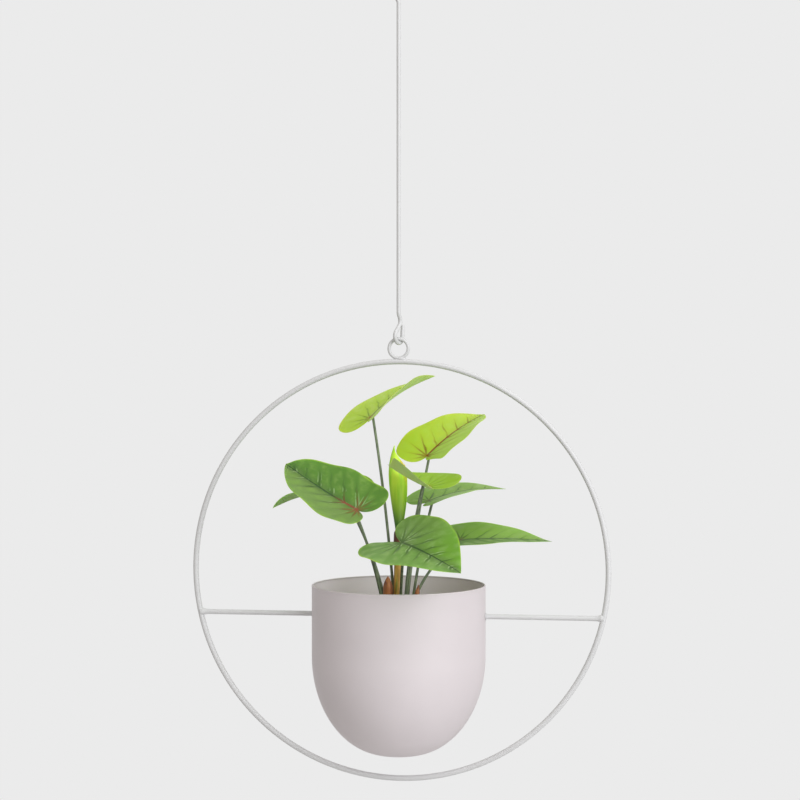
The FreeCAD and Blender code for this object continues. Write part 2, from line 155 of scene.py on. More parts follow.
# %% Bent wires
def tube(path, across, radius, sides=20, end=0.3, dome_rows=5):
    """A round bar along a path: path + radius (cos a times across + sin a times the third direction).

    Both ends are domed by a share of the radius.
    """
    radius = np.broadcast_to(np.asarray(radius, float), len(path))
    step = unit(np.diff(path, axis=0))
    along = np.concatenate([step[:1], unit(step[:-1] + step[1:]), step[-1:]])
    across = np.broadcast_to(across, path.shape)
    across = unit(across - np.sum(across * along, axis=1, keepdims=True) * along)
    dome = np.linspace(0, np.pi / 2, dome_rows, endpoint=False)
    out = np.cos(dome)[:, None] * end
    first = path[0] - along[0] * out * radius[0]
    last = (path[-1] + along[-1] * out * radius[-1])[::-1]
    centre = np.concatenate([first, path, last])
    wide = np.concatenate([radius[0] * np.sin(dome), radius, radius[-1] * np.sin(dome)[::-1]])
    rows = np.clip(np.arange(-dome_rows, len(path) + dome_rows), 0, len(path) - 1)
    across = across[rows]
    third = np.cross(along[rows], across)
    turn = np.linspace(0, 2 * np.pi, sides, endpoint=False)[None, :, None]
    ring = np.cos(turn) * across[:, None] + np.sin(turn) * third[:, None]
    return centre[:, None] + wide[:, None, None] * ring


def rounded_path(corners, radii, steps=24, least_step=0.01):
    """Points along straight runs between corners, each inner corner turned on its own radius.

    A point nearer than the least step to the one before it is left out.
    """
    corners = np.asarray(corners, float)
    points = [corners[:1]]
    share = np.linspace(-1, 1, steps)[:, None]
    for before, corner, after, radius in zip(corners, corners[1:], corners[2:], radii):
        into = unit(corner - before)
        out = unit(after - corner)
        half_turn = math.acos(np.clip(into @ out, -1, 1)) / 2
        inward = unit(out - into)
        chord = unit(into + out)
        centre = corner + inward * radius / math.cos(half_turn)
        turn = share * half_turn
        points.append(centre + radius * (np.sin(turn) * chord - np.cos(turn) * inward))
    points.append(corners[-1:])
    path = np.concatenate(points)
    apart = np.linalg.norm(np.diff(path, axis=0), axis=1) > least_step
    return path[np.concatenate([[True], apart])]


print("a wire with one bend has", len(rounded_path([(0, 0, 0), (9, 0, 0), (9, 9, 0)], [4])), "rows")

# %% Turned shapes and rings
UP = np.array([0.0, 0.0, 1.0])


def lathe(profile, sides=96):
    """A profile of radius and height turned about Z: (r cos a, r sin a, h)."""
    radius, height = np.asarray(profile, float).T
    turn = np.linspace(0, 2 * np.pi, sides, endpoint=False)
    circle = np.stack([np.cos(turn), np.sin(turn), np.zeros(sides)], axis=1)
    return radius[:, None, None] * circle + height[:, None, None] * UP


def torus(centre_z, radius, wire, sides=24, rounds=240):
    """A wire ring about the Y axis: circle of the radius, round section of the wire's half width."""
    turn = np.linspace(0, 2 * np.pi, rounds + 1)[:, None]
    section = np.linspace(0, 2 * np.pi, sides, endpoint=False)[None, :]
    reach = radius + wire / 2 * np.cos(section)
    depth = np.broadcast_to(wire / 2 * np.sin(section), (rounds + 1, sides))
    return np.stack([reach * np.sin(turn), depth, centre_z + reach * np.cos(turn)], axis=-1)


print("a wire ring is a grid of", torus(0.0, 10.0, 2.0).shape[:2], "points")

# %% [markdown]
# ## Finishes
# Real finishes change over the surface. Powder paint has a fine orange-peel skin, plated steel is
# cloudy, leaves have veins and stalks have fibres. Painted pictures could show this, but they blur
# close up, so it is worked out by nodes. Each effect is one node group with a colour, a roughness and
# a height as its outputs, and each material places the group with its own values.

# %% Node helpers
def colour(red, green, blue):
    """A screen colour from 0 to 255 as linear light with full cover."""
    share = np.array([red, green, blue]) / 255
    low = share / 12.92
    high = ((share + 0.055) / 1.055) ** 2.4
    return (*np.where(share <= 0.04045, low, high).tolist(), 1.0)


def put(tree, kind, inputs=None, **settings):
    """A node with its settings, its inputs either fixed or linked from another node's output."""
    node = tree.nodes.new(kind)
    for setting, value in settings.items():
        setattr(node, setting, value)
    for socket, value in (inputs or {}).items():
        if isinstance(value, bpy.types.NodeSocket):
            tree.links.new(value, node.inputs[socket])
        else:
            node.inputs[socket].default_value = value
    return node


def mixed(tree, share, first, second):
    """First colour at share 0, second at share 1."""
    node = put(tree, "ShaderNodeMix", {0: share, 6: first, 7: second}, data_type="RGBA")
    return node.outputs[2]


def calc(tree, operation, *values):
    """One step of arithmetic."""
    return put(tree, "ShaderNodeMath", dict(enumerate(values)), operation=operation).outputs[0]


def product(tree, first, *others):
    """Numbers multiplied one after another."""
    for other in others:
        first = calc(tree, "MULTIPLY", first, other)
    return first


def eased(tree, value, low, high, start=0.0, end=1.0):
    """Runs smoothly from start to end while value goes from low to high."""
    places = {0: value, 1: low, 2: high, 3: start, 4: end}
    return put(tree, "ShaderNodeMapRange", places, interpolation_type="SMOOTHSTEP").outputs[0]


def noise(tree, place, size, detail=2.0):
    """Cloudy numbers about one half; size is the clouds' width in millimetres."""
    scale = calc(tree, "DIVIDE", 1 / MM, size)
    inputs = {"Vector": place, "Scale": scale, "Detail": detail}
    return put(tree, "ShaderNodeTexNoise", inputs).outputs[0]


print("mid grey on the screen is", round(colour(128, 128, 128)[0], 3), "of full light")


# %% Groups and materials
glow_reach = 1.2
glow_spread = (0.8, 1.0, 0.4)


def start_group(name, inputs):
    """A shader group with colour, roughness and height outputs; inputs are names and first values."""
    tree = bpy.data.node_groups.new(name, "ShaderNodeTree")
    for socket, value in inputs.items():
        kind = "NodeSocketColor" if isinstance(value, tuple) else "NodeSocketFloat"
        made = tree.interface.new_socket(name=socket, in_out="INPUT", socket_type=kind)
        made.default_value = value
    tree.interface.new_socket(name="Color", in_out="OUTPUT", socket_type="NodeSocketColor")
    tree.interface.new_socket(name="Roughness", in_out="OUTPUT", socket_type="NodeSocketFloat")
    tree.interface.new_socket(name="Height", in_out="OUTPUT", socket_type="NodeSocketFloat")
    given = tree.nodes.new("NodeGroupInput").outputs
    place = tree.nodes.new("ShaderNodeTexCoord").outputs["Object"]
    return tree, given, place


def end_group(tree, shade, roughness, height):
    """Sends the three results out of a group."""
    put(tree, "NodeGroupOutput", {"Color": shade, "Roughness": roughness, "Height": height})
    print(tree.name, "has", len(tree.nodes), "nodes")


def finish(name, group, values, relief, metallic=0.0, specular=0.5, through=0.0):
    """A material that places a group with its own values; relief is the height's size in mm, and
    through is the share of light that goes into a thin skin and out of its other side."""
    material = bpy.data.materials.new(name)
    material.use_nodes = True
    tree = material.node_tree
    skin = put(tree, "ShaderNodeGroup", {}, node_tree=group)
    for socket, value in values.items():
        skin.inputs[socket].default_value = value
    bump = put(tree, "ShaderNodeBump", {"Distance": relief * MM, "Height": skin.outputs["Height"]})
    shader = tree.nodes["Principled BSDF"]
    tree.links.new(skin.outputs["Color"], shader.inputs["Base Color"])
    tree.links.new(skin.outputs["Roughness"], shader.inputs["Roughness"])
    tree.links.new(bump.outputs["Normal"], shader.inputs["Normal"])
    shader.inputs["Metallic"].default_value = metallic
    shader.inputs["Specular IOR Level"].default_value = specular
    shader.inputs["Subsurface Weight"].default_value = through
    shader.inputs["Subsurface Radius"].default_value = glow_spread
    shader.inputs["Subsurface Scale"].default_value = glow_reach * MM
    return material


print("light reaches", glow_reach, "mm into a thin skin")

# %% Paint and steel
BLACK = (0.0, 0.0, 0.0, 1.0)
paint_cloud = 45.0
paint_wear = 0.12
paint, given, place = start_group("paint_skin", {
    "Tone": colour(220, 216, 218), "Inside": colour(253, 247, 251), "Peel": 0.9})
cloud = noise(paint, place, paint_cloud, 3.0)
peel = noise(paint, place, given["Peel"], 1.0)
# Inside the pot the tone turns paler, as painted light where the leaves shade the inside.
inside = put(paint, "ShaderNodeAttribute", attribute_name="inside").outputs["Fac"]
coat = mixed(paint, inside, given["Tone"], given["Inside"])
worn = mixed(paint, paint_wear, coat, BLACK)
end_group(paint, mixed(paint, eased(paint, cloud, 0.2, 0.8, 0.45, 0.0), coat, worn),
          eased(paint, cloud, 0.2, 0.8, 0.46, 0.58), peel)

plate_cloud = 6.0
plate_dulling = 0.35
plate, given, place = start_group("plated_skin", {"Tone": colour(190, 190, 188), "Grain": 0.5})
cloud = noise(plate, place, plate_cloud, 4.0)
grain = noise(plate, place, given["Grain"], 2.0)
dull = mixed(plate, plate_dulling, given["Tone"], BLACK)
end_group(plate, mixed(plate, eased(plate, cloud, 0.3, 0.7), given["Tone"], dull),
          eased(plate, cloud, 0.3, 0.7, 0.26, 0.42), grain)

frame_paint = finish("frame_coat", paint, {"Tone": colour(212, 213, 214), "Peel": 0.7}, 0.02)
pot_paint = finish("pot_coat", paint, {"Tone": colour(216, 209, 212), "Peel": 1.0}, 0.025)
hook_steel = finish("hook_plating", plate, {"Tone": colour(196, 196, 192)}, 0.01, metallic=1.0)
nut_steel = finish("nut_plating", plate, {"Tone": colour(178, 176, 168)}, 0.01, metallic=1.0)
print("paint and steel:", [skin.name for skin in (frame_paint, pot_paint, hook_steel, nut_steel)])

# %% [markdown]
# ## The screw hook
# A hook like this is rolled from mild steel rod: a thread is rolled on one end, a loose collar is
# pressed up against it, and the other end is bent cold into a question mark. The wire is carried along
# its bent line. A screw modifier could wind the thread, but its ends stay open, so the thread is a
# cylinder whose radius rises and falls along a helix.

# %% Hook
hook_wire = 3.5
hook_radius = 9.75
neck_bend = 5.0
neck_share = 0.6
tip_lift = math.radians(15)
collar_radius = 5.5
collar_thickness = 2.0
collar_soft = 0.35

hook_z = hook_seat_z + hook_radius
bend_drop = math.sqrt(hook_radius ** 2 + 2 * hook_radius * neck_bend)
leave = math.atan2(bend_drop, neck_bend)
bend = np.linspace(0, leave, 14)
swing = np.linspace(leave, -math.pi - tip_lift, 60)[1:]
neck_z = np.array([-0.5 * collar_thickness, neck_share * (hook_z + bend_drop)])
bend_y = neck_bend * (1 - np.cos(bend))
bend_z = hook_z + bend_drop - neck_bend * np.sin(bend)
hook_y = np.concatenate([0 * neck_z, bend_y, hook_radius * np.cos(swing)])
hook_path_z = np.concatenate([neck_z, bend_z, hook_z + hook_radius * np.sin(swing)])
hook_path = np.stack([0 * hook_y, hook_y, hook_path_z], axis=1)
hook_bar = tube(hook_path, np.array([1.0, 0, 0]), hook_wire / 2, sides=28, end=1.0)
collar = lathe([
    (0, 0), (collar_radius - collar_soft, 0), (collar_radius, -collar_soft),
    (collar_radius, collar_soft - collar_thickness), (collar_radius - collar_soft, -collar_thickness),
    (0, -collar_thickness),
])
print("hook goes round a centre at", round(hook_z, 2))

# %% Screw
screw_radius = 2.0
screw_length = node_box("ceiling_hook")[1][2]
point_share = 0.2
thread_pitch = 1.6
thread_depth = 0.45
flank_slope = 1.5
root_flat = 0.25
rows_per_turn = 16


def screw_thread(length, radius, pitch, depth, sides=36):
    """Radius less depth times a V-shaped wave of height over pitch and angle; it tapers to a point."""
    rows = np.linspace(0, length, int(length / pitch * rows_per_turn))[:, None]
    turn = np.linspace(0, 2 * np.pi, sides, endpoint=False)[None, :]
    phase = (rows / pitch - turn / (2 * np.pi)) % 1
    groove = np.clip(flank_slope * np.abs(2 * phase - 1) - root_flat, 0, 1)
    taper = np.clip((length - rows) / (point_share * length), 0, 1)
    start = np.clip(rows / pitch, 0, 1)
    wide = (radius - depth * (1 - groove * start)) * taper
    height = np.broadcast_to(rows, wide.shape)
    return np.stack([wide * np.cos(turn), wide * np.sin(turn), height], axis=-1)


screw = screw_thread(screw_length, screw_radius, thread_pitch, thread_depth)
screw_foot = np.broadcast_to(screw[:1].mean(axis=1, keepdims=True), screw[:1].shape)
screw = np.concatenate([screw_foot, screw])
add_piece("screw_hook", [hook_bar, collar, screw], "hook", hook_steel, ["ceiling_hook"])

# %% [markdown]
# ## The bent rod
# One straight length of wire, bent in a jig at both ends. Each eye is a teardrop: the wire steps aside,
# slants to one side of the eye, goes round it and stops against itself. The two eyes stand in different
# planes. A bevelled curve picks its own twist between them, so here the section's direction is given
# and turns slowly along the straight run.

# %% Eye
rod_wire = 3.0
eye_radius = 4.75
eye_neck = 5.6
eye_tail = 3.4
eye_kink = 3.2
kink_length = 6.0
eye_bend = 5.0
eye_lead = 6.0
link_clearance = 0.3


def eye_corners():
    """Corners of an eye in its plane: side step and height above its outermost wire centre."""
    def tangent_foot(side, height):
        """How far out f a line from (side, height) that touches the eye's circle of radius R comes to
        height 0: (2 R - height) f f + 2 R side f + height R R = 0."""
        a = 2 * eye_radius - height
        b = 2 * eye_radius * side
        c = height * eye_radius ** 2
        return (-b - math.sqrt(b * b - 4 * a * c)) / (2 * a)

    kink_height = 2 * eye_radius + eye_neck
    left = tangent_foot(eye_kink, kink_height)
    slant = math.atan2(eye_kink + left, kink_height)
    tail_height = 2 * eye_radius + eye_tail
    strand = eye_kink - (kink_height - tail_height) * math.tan(slant)
    tail = strand + (rod_wire + link_clearance) / math.cos(slant)
    right = tangent_foot(-tail, tail_height)
    bend_height = kink_height + kink_length
    return np.array([
        (0, bend_height + eye_lead), (0, bend_height), (eye_kink, kink_height),
        (-left, 0), (right, 0), (tail, tail_height),
    ])


def eye_line(side, end_z, way):
    """The eye's bent line, in the plane of the side direction and Z, going off from its end."""
    step, height = eye_corners().T
    corners = step[:, None] * side + (end_z + way * height)[:, None] * UP
    return rounded_path(corners, [eye_bend, eye_bend, eye_radius, eye_radius])


print("eye corners:", np.round(eye_corners(), 2).tolist())

# %% Rod
ring_wire = 2.5
lower_turn = math.radians(25)
upper_eye_z = hook_seat_z + (hook_wire + rod_wire) / 2 + link_clearance
lower_eye_z = ring_top_z - (rod_wire + ring_wire) / 2 - link_clearance
lower_side = np.array([math.sin(lower_turn), math.cos(lower_turn), 0])
upper_side = np.array([-1.0, 0, 0])
lower_line = eye_line(lower_side, lower_eye_z, 1)
upper_line = eye_line(upper_side, upper_eye_z, -1)[::-1]
share = np.linspace(0, 1, 40)[1:-1, None]
straight = upper_line[-1] * (1 - share) + lower_line[0] * share
rod_path = np.concatenate([upper_line, straight, lower_line])
plane_turn = np.concatenate([np.zeros(len(upper_line)), share[:, 0], np.ones(len(lower_line))])
upper_across = math.pi / 2
across_turn = upper_across - (lower_turn + upper_across) * plane_turn
rod_across = np.stack([np.cos(across_turn), np.sin(across_turn), 0 * across_turn], axis=1)
rod_tube = tube(rod_path, rod_across, rod_wire / 2, sides=24)
add_piece("bent_rod", [rod_tube], "rod", frame_paint, ["hanger_rod"])

# %% [markdown]
# ## Hoop, ring and bars
# The hoop is wire rolled to a circle and butt-welded. The ring and the two bars are welded on, and the
# weld leaves a small fillet at each bar's end and a bead where the ring sits. Paint goes on after
# welding, so it covers wire, fillets and bead alike. A Boolean and a bevel could round each weld, but
# they often fail where two round wires cross. So each bar simply swells towards its weld, and the bead
# is a flattened ball.

# %% Hoop and ring
ring_low, ring_high = node_box("top_ring")
ring_outside = ring_high[0] - ring_low[0]
ring_radius = (ring_outside - ring_wire) / 2
ring_z = ring_top_z - ring_radius
hoop_ring = torus(hoop_z, hoop_radius, hoop_wire)
add_piece("wire_hoop", [hoop_ring], "frame", frame_paint, ["hoop"])

ring = torus(ring_z, ring_radius, ring_wire, rounds=96)
bead_turn = np.linspace(0, np.pi, 17)
ball = lathe(np.stack([np.sin(bead_turn), -np.cos(bead_turn)], axis=1), sides=32)
bead_size = np.array([3.6, 1.9, 1.3])
bead_side = 1.6
bead = ball * bead_size + np.array([bead_side, 0.0, hoop_z + hoop_radius + hoop_wire / 2])
add_piece("hanging_ring", [ring, bead], "frame", frame_paint, ["top_ring"])

# %% Bars
bar_radius = 1.8
stub_radius = 1.5
chamfer_depth = 0.3
chamfer_length = 0.4
shoulder_edge = 0.1
fillet = 0.9
fillet_reach = 1.5
weld_zone = 11.0
stub_end = node_box("right_bar")[0][0]
shoulder = node_box("outer_washers")[1][0]
hoop_x = math.sqrt(hoop_radius ** 2 - (hoop_z - bar_z) ** 2)
thin_x = np.array([stub_end, stub_end + chamfer_length, shoulder])
plain_x = np.linspace(shoulder + shoulder_edge, hoop_x - weld_zone - 1, 4)
weld_x = np.linspace(hoop_x - weld_zone, hoop_x, 24)
thick_x = np.concatenate([[shoulder], plain_x, weld_x])
bar_x = np.concatenate([thin_x, thick_x])
swell = fillet * np.exp(-np.clip(hoop_x - hoop_wire / 2 - thick_x, 0, None) / fillet_reach)
bar_wide = np.concatenate([[stub_radius - chamfer_depth, stub_radius, stub_radius], bar_radius + swell])
bar_profile = np.concatenate([[(0, stub_end)], np.stack([bar_wide, bar_x], axis=1), [(0, hoop_x)]])
turned_bar = lathe(bar_profile, sides=32)
right_bar = np.stack([turned_bar[..., 2], turned_bar[..., 0], bar_z + turned_bar[..., 1]], axis=-1)
for name, way in {"right": 1, "left": -1}.items():
    bar = right_bar * np.array([way, 1, 1])
    add_piece(name + "_carrier_bar", [bar], "frame", frame_paint, [name + "_bar"])

# %% [markdown]
# ## The pot
# Drawn from one disc of thin sheet: a straight wall, a bowl that runs into a small flat base, and a
# trimmed lip that is rolled smooth. Its outline is turned about Z, out along the base, up the wall,
# over the lip and down again inside. A Solidify modifier could thicken a single wall, but the rolled
# lip needs its own curve. The inside is painted paler than the outside, as painted light where the
# leaves shade it, and a mark tells it apart.

# %% Pot
pot_wall = 1.0
pot_straight = 51.0
base_radius = 10.0
lip_roll = 0.35
lip_wrap = 0.2 * np.pi
lip_start = 2.2


def bowl_line(inset, count=48):
    """From the base's edge up an elliptical quarter to the straight wall, moved in by an inset."""
    turn = np.linspace(0, np.pi / 2, count)
    low = pot_low[2] + inset
    shoulder_z = rim_z - pot_straight
    side = pot_radius - inset
    radius = base_radius + (side - base_radius) * np.sin(turn)
    return np.stack([radius, shoulder_z - (shoulder_z - low) * np.cos(turn)], axis=1)


lip_turn = np.linspace(-lip_wrap, np.pi + lip_wrap, 14)
lip_radius = (pot_wall + lip_roll) / 2
lip_centre = np.array([pot_radius - pot_wall / 2, rim_z - lip_radius])
lip_line = lip_centre + lip_radius * np.stack([np.cos(lip_turn), np.sin(lip_turn)], axis=1)
wall_z = np.linspace(rim_z - pot_straight, rim_z - lip_start, 12)[1:, None]
outer_wall = np.concatenate([np.full_like(wall_z, pot_radius), wall_z], axis=1)
inner_wall = np.concatenate([np.full_like(wall_z, pot_radius - pot_wall), wall_z], axis=1)
pot_profile = np.concatenate([
    [(0, pot_low[2])], bowl_line(0), outer_wall, lip_line,
    inner_wall[::-1], bowl_line(pot_wall)[::-1], [(0, pot_low[2] + pot_wall)],
])
pot_skin = lathe(pot_profile, sides=180)
# The inside mark carries the paler painted-light tone onto the inside of the wall.
outside_rows = len(bowl_line(0)) + len(outer_wall) + len(lip_line)
painted_light_inside_mark = np.zeros(pot_skin.shape[:2])
painted_light_inside_mark[outside_rows:] = 1.0
add_piece("drawn_pot", [pot_skin], "planted_pot", pot_paint, ["pot"],
          marks={"inside": painted_light_inside_mark})

# %% [markdown]
# ## Filling
# Artificial plants stand in a block of foam, and a loose cover hides it. Thousands of scattered crumbs
# would cost many faces for a place in the shade. So the cover's top is a disc with lumps: a sum of
# waves in many directions, each with its own length, as crumbs of many sizes give.

# %% Soil and foam finishes
crumb, given, place = start_group("crumb_skin", {
    "Light": colour(146, 116, 90), "Dark": colour(64, 46, 34), "Crumb": 3.0})
lump = noise(crumb, place, given["Crumb"], 6.0)
end_group(crumb, mixed(crumb, eased(crumb, lump, 0.35, 0.68), given["Dark"], given["Light"]),
          eased(crumb, lump, 0.2, 0.8, 0.95, 0.8), lump)
soil_skin = finish("soil_crumbs", crumb, {"Crumb": 2.6}, 1.2)
foam_skin = finish("foam_block", crumb, {
    "Light": colour(120, 132, 92), "Dark": colour(84, 96, 62), "Crumb": 1.0}, 0.3)

# %% Soil
wave_count = 40
shortest_wave = 5
longest_wave = 22
lump_height = 1.1
soil_dip = 1.0
soil_sides = 160
rng = np.random.default_rng(7)
soil_radius = (soil_high[0] - soil_low[0]) / 2
wave_way = rng.uniform(0, 2 * np.pi, wave_count)
wave_length = rng.uniform(shortest_wave, longest_wave, wave_count)
wave_phase = rng.uniform(0, 2 * np.pi, wave_count)
disc = lathe([(r, 0) for r in np.linspace(0, soil_radius, 60)], sides=soil_sides)
course = disc[..., 0, None] * np.cos(wave_way) + disc[..., 1, None] * np.sin(wave_way)
lumps = np.sum(wave_length * np.sin(2 * np.pi * course / wave_length + wave_phase), axis=-1)
lumps = lump_height * lumps / np.abs(lumps).max()
lumps = lumps - lumps[0, 0] * np.exp(-(disc[..., 0] ** 2 + disc[..., 1] ** 2))
top = disc + (soil_z - soil_dip + lumps)[..., None] * UP
top[0] = top[0].mean(axis=0)
under = lathe([(soil_radius, soil_low[2]), (0, soil_low[2])], sides=soil_sides)
soil = np.concatenate([top, under])
add_piece("soil_cover", [soil], "planted_pot", soil_skin, ["soil_topping"])

# %% [markdown]
# ## Leaves
# A moulded leaf starts as printed cloth or thin plastic, cut to a heart shape and pressed so that it
# folds along its midrib and droops at its tip. Its outline is three curves on each side: tip to widest
# place, round the lobe and in to the stem. The face between is h = droop, fold and twist over the
# blade's own length u and breadth v, as a shell that thins towards its edge. Cutting the shape from a
# square grid would leave a ragged edge, so the grid's rows follow the outline.
# The veins are drawn by the finish from u and v, kept in a texture map in decimetres: side veins leave
# the midrib at equal steps and lean forward, and behind the stem they fan round the lobes.

# %% Leaf finish
map_unit = 100.0
blade, given, place = start_group("leaf_skin", {
    "Left": colour(120, 170, 70), "Right": colour(120, 170, 70), "Pale": colour(165, 200, 110),
    "Vein": colour(50, 100, 30), "Blush": colour(150, 75, 40), "Edge": colour(190, 210, 90),
    "Underside with painted light": colour(150, 180, 110), "Tip": colour(120, 170, 70), "Tip share": 0.0,
    "Blush reach": 12.0, "Vein step": 11.0, "Depth": 0.3, "Painted highlight": 0.15,
})
flat_place = put(blade, "ShaderNodeUVMap", uv_map="blade").outputs[0]
flat_map = put(blade, "ShaderNodeSeparateXYZ", {0: flat_place}).outputs
along = product(blade, flat_map[0], map_unit)
across = product(blade, flat_map[1], map_unit)
side = calc(blade, "ABSOLUTE", across)
rim = put(blade, "ShaderNodeAttribute", attribute_name="rim").outputs["Fac"]
below = put(blade, "ShaderNodeAttribute", attribute_name="below").outputs["Fac"]
print("leaf finish reads the map and the marks rim and below")

# %% Veins
vein_lean = 0.75
lean_width = 0.8
fan_step = 0.46
fan_start = 0.927
wobble_width = 9.0
wobble_reach = 2.0
patch_width = 14.0
wander = noise(blade, place, wobble_width, 1.0)
wobble = calc(blade, "MULTIPLY_ADD", wander, 2 * wobble_reach, -wobble_reach)
ahead = calc(blade, "ADD", calc(blade, "MULTIPLY_ADD", side, -vein_lean, along), wobble)


def off_line(turns):
    """How far a number is from the nearest whole one."""
    past_half = calc(blade, "SUBTRACT", calc(blade, "FRACT", turns), 0.5)
    return calc(blade, "SUBTRACT", 0.5, calc(blade, "ABSOLUTE", past_half))


side_off = off_line(calc(blade, "DIVIDE", ahead, given["Vein step"]))
side_gap = product(blade, side_off, given["Vein step"], lean_width)
reach = calc(blade, "SQRT", calc(blade, "ADD", product(blade, along, along), product(blade, side, side)))
angle = calc(blade, "ARCTAN2", side, along)
fan_off = off_line(calc(blade, "DIVIDE", calc(blade, "SUBTRACT", angle, fan_start), fan_step))
fan_gap = product(blade, fan_off, fan_step, reach)
is_ahead = calc(blade, "GREATER_THAN", ahead, 0.0)
gap = put(blade, "ShaderNodeMix", {0: is_ahead, 2: fan_gap, 3: side_gap}, data_type="FLOAT").outputs[0]
patchy = eased(blade, noise(blade, place, patch_width), 0.35, 0.6, 0.35, 1.0)
fade = product(blade, eased(blade, rim, 0.1, 0.85, 1.0, 0.0), patchy)
vein_edge = eased(blade, rim, 0.0, 0.8, 1.1, 0.6)
vein = product(blade, eased(blade, gap, 0.1, vein_edge, 1.0, 0.0), fade)
taper = eased(blade, along, 0.0, 60.0, 1.0, 0.35)
midrib_off = calc(blade, "DIVIDE", side, taper)
past_stem = calc(blade, "GREATER_THAN", along, -0.5)
midrib = product(blade, eased(blade, midrib_off, 0.5, 1.5, 1.0, 0.0), past_stem)
print("veins drawn with", len(blade.nodes), "nodes")

# %% Leaf tissue
pale_share = 0.55
groove_shade_share = 0.55
mottle = eased(blade, noise(blade, place, 7.0), 0.35, 0.7)
between = product(blade, eased(blade, gap, 0.6, 3.4), mottle)
tip_share = product(blade, eased(blade, along, 4.0, 40.0), given["Tip share"])
left_half = mixed(blade, tip_share, given["Left"], given["Tip"])
halves = mixed(blade, eased(blade, across, -1.2, 1.2), given["Right"], left_half)
tissue = mixed(blade, product(blade, between, pale_share), halves, given["Pale"])
# Bands beside the veins and the midrib are darkened towards the vein colour as painted shade in their
# grooves.
groove_shade_tone = mixed(blade, groove_shade_share, tissue, given["Vein"])
painted_groove_shade = product(blade, eased(blade, gap, 0.4, 2.8, 0.8, 0.0), fade)
painted_groove_shade = calc(blade, "MAXIMUM", painted_groove_shade, eased(blade, side, 1.0, 7.0, 0.8, 0.0))
tissue = mixed(blade, product(blade, painted_groove_shade, given["Depth"]), tissue, groove_shade_tone)
broken = eased(blade, noise(blade, place, 16.0), 0.4, 0.6, 0.2, 1.0)
bright_edge = product(blade, eased(blade, rim, 0.94, 1.0, 0.0, 0.8), broken)
tissue = mixed(blade, bright_edge, tissue, given["Edge"])
print("tissue drawn with", len(blade.nodes), "nodes")

# %% Vein colours
vein_share = 0.7
midrib_share = 0.9
under_share = 0.85
blush_core = 0.3
swell_share = 0.3
# Pale flecks in a band beside each vein are painted highlights, standing for shine along the veins.
painted_highlight_tone = colour(186, 208, 156)
blush_start = product(blade, given["Blush reach"], blush_core)
near_stem = eased(blade, reach, blush_start, given["Blush reach"], 1.0, 0.0)
line_tone = mixed(blade, near_stem, given["Vein"], given["Blush"])
highlight_band = product(blade, eased(blade, gap, 0.7, 1.1), eased(blade, gap, 1.2, 2.0, 1.0, 0.0))
highlight_fleck = eased(blade, noise(blade, place, 9.0), 0.45, 0.6)
inner = eased(blade, rim, 0.1, 0.7, 1.0, 0.0)
painted_highlight = product(blade, highlight_band, product(blade, highlight_fleck, inner), given["Painted highlight"])
tissue = mixed(blade, painted_highlight, tissue, painted_highlight_tone)
tissue = mixed(blade, product(blade, vein, vein_share), tissue, line_tone)
tissue = mixed(blade, product(blade, midrib, midrib_share), tissue, line_tone)
# The underside tone is the leaf's paler back, raised further as painted light where undersides lie in shade.
shade = mixed(blade, product(blade, below, under_share), tissue, given["Underside with painted light"])
lines = calc(blade, "MAXIMUM", vein, midrib)
relief = calc(blade, "SUBTRACT", product(blade, between, swell_share), lines)
end_group(blade, shade, eased(blade, between, 0.0, 1.0, 0.5, 0.4), relief)

# %% [markdown]
# Each leaf has its place, pose and form: root in thicknesses of the stalk; joint, bow, length and half
# width in hundredths of the plant's height; heading, pitch and roll in degrees; droop, fold and twist
# as slopes; the two lobes' lengths and how full the blade is towards its tip. One formula with these
# numbers makes all eight, where eight hand-made meshes would have to be kept alike. Most of the numbers
# come from a fit of this formula to traced leaf outlines, rounded, and some were then changed.

# %% Leaf table
Leaf = namedtuple("Leaf", [
    "name", "root", "joint", "bow", "heading", "pitch", "roll", "length", "half_width",
    "droop", "fold", "twist", "lobes", "fullness",
])
LEAVES = [
    Leaf("top", (-0.31, 1.02), (-15.67, 12.67, 79.33), 2.0, 47, 41, -12, 44.0, 20.67,
         0.24, 0.25, -0.10, (0.24, 0.10), 0.64),
    Leaf("upper_right", (0.39, 0.94), (12.33, 13.20, 61.0), 2.0, 41, 40, 10, 40.0, 18.67,
         0.18, 0.30, -0.02, (0.18, 0.06), 0.95),
    Leaf("left", (-0.86, -0.55), (-15.0, -31.0, 37.33), 4.0, 163, 24, -25, 42.0, 19.33,
         -0.11, 0.23, -0.03, (0.16, 0.19), 1.0),
    Leaf("far_left", (-0.86, 0.86), (-27.67, 13.0, 41.0), 5.33, 168, 14, -14, 38.67, 18.67,
         0.45, 0.33, 0.15, (0.21, 0.26), 0.92),
    Leaf("middle", (0.62, -0.62), (15.0, -16.33, 47.67), 4.0, 138, 14, 7, 30.0, 15.33,
         -0.08, 0.57, 0.49, (0.39, 0.40), 0.0),
    Leaf("middle_right", (0.86, 0.78), (13.33, 13.0, 39.0), 2.0, 29, 20, 3, 40.67, 18.67,
         0.23, 0.15, 0.0, (0.18, 0.15), 0.94),
    Leaf("front", (0.23, -0.94), (7.0, -38.0, 23.0), 8.0, -47, -8, 26, 42.67, 20.67,
         0.12, 0.17, -0.16, (0.34, 0.38), 0.42),
    Leaf("right", (1.02, 0.16), (28.33, 11.33, 20.33), 9.0, -3, 5, 15, 44.67, 17.33,
         0.09, 0.19, -0.09, (0.30, 0.28), 0.32),
]
print(len(LEAVES), "leaves, up to", max(leaf.length for leaf in LEAVES), "hundredths long")

# %% Leaf outline
front_points = 65
lobe_points = 33
notch_points = 25


def bezier(poles, count):
    """A cubic curve on four poles."""
    t = np.linspace(0, 1, count)[:, None]
    a, b, c, d = np.array(poles, float)
    return (1 - t) ** 3 * a + 3 * (1 - t) ** 2 * t * b + 3 * (1 - t) * t ** 2 * c + t ** 3 * d


